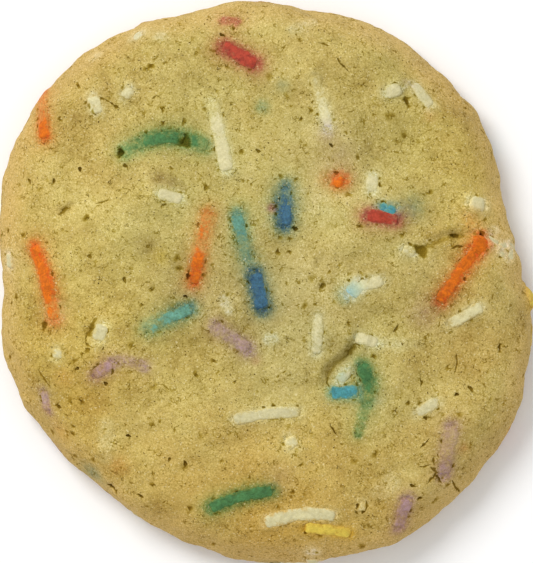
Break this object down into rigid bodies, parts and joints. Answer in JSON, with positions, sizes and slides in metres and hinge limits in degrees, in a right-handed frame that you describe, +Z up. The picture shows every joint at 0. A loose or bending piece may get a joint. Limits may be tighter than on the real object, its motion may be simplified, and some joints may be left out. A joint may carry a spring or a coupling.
{
  "type": "birthday cake cookie",
  "caption": "Round, soft-baked sugar cookie with a low domed top, a browned rim and coloured rod sprinkles baked into its dough.",
  "frame": {"origin": "middle of the flat underside, under the middle of the bounding box", "axes": "+Z up out of the domed top, +Y along the slightly longer diameter, +X to the side with the torn notch in the rim"},
  "size_m": [0.0686, 0.0722, 0.0133],
  "materials": {
    "dough": "matt golden baked dough, finely pored, browner at the rim and underneath",
    "orange_sprinkle": "baked sugar, satin, bright orange",
    "red_sprinkle": "baked sugar, satin, brick red",
    "green_sprinkle": "baked sugar, satin, leaf green",
    "teal_sprinkle": "baked sugar, satin, dull teal",
    "blue_sprinkle": "baked sugar, satin, dark blue",
    "sky_sprinkle": "baked sugar, satin, light blue",
    "lilac_sprinkle": "baked sugar, satin, dusty lilac",
    "yellow_sprinkle": "baked sugar, satin, warm yellow",
    "cream_sprinkle": "baked sugar, satin, creamy white"
  },
  "bodies": {
    "root": {"cookie": "dough"}
  },
  "joints": []
}
